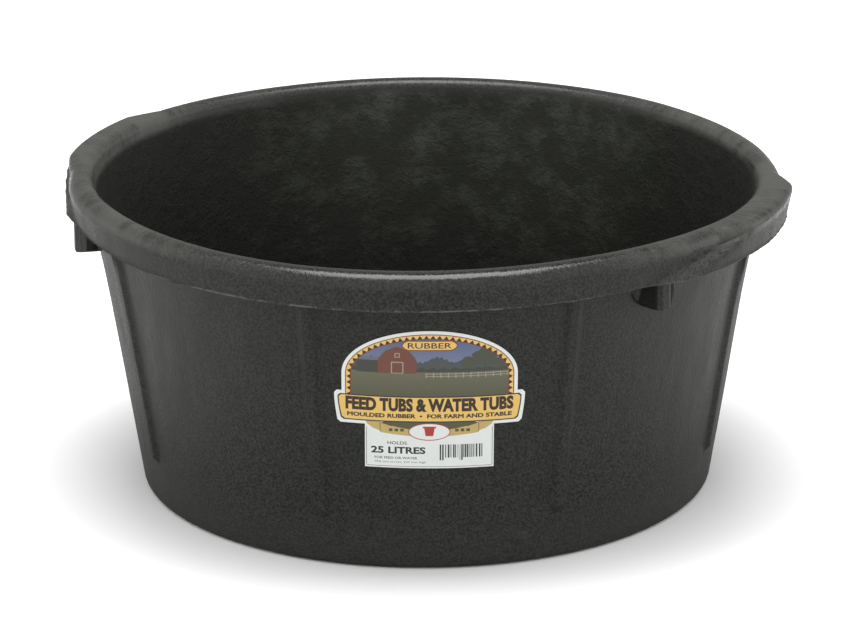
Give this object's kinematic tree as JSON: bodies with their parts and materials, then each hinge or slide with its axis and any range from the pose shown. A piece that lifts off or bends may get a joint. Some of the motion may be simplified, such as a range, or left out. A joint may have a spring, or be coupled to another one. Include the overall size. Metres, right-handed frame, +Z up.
{
  "type": "rubber feed tub",
  "caption": "Round, low feed tub moulded in one piece of black rubber, with flared ribbed walls, a flat base, a heavy rolled rim with flat hand ears, and a printed label on the front.",
  "frame": {"origin": "centre of the base, on the plane that the tub rests on", "axes": "+Z up along the tub's axis, -Y towards the label on the front wall, +X to the right as seen from the front, along the wide way over the rim's ears"},
  "size_m": [0.4722, 0.456, 0.207],
  "materials": {
    "rubber": "matt moulded crumb rubber, slightly mottled, with dusty scuffs",
    "label_print": "glossy printed sticker with a white border"
  },
  "bodies": {
    "root": {"tub": "rubber", "label": "label_print"}
  },
  "joints": []
}
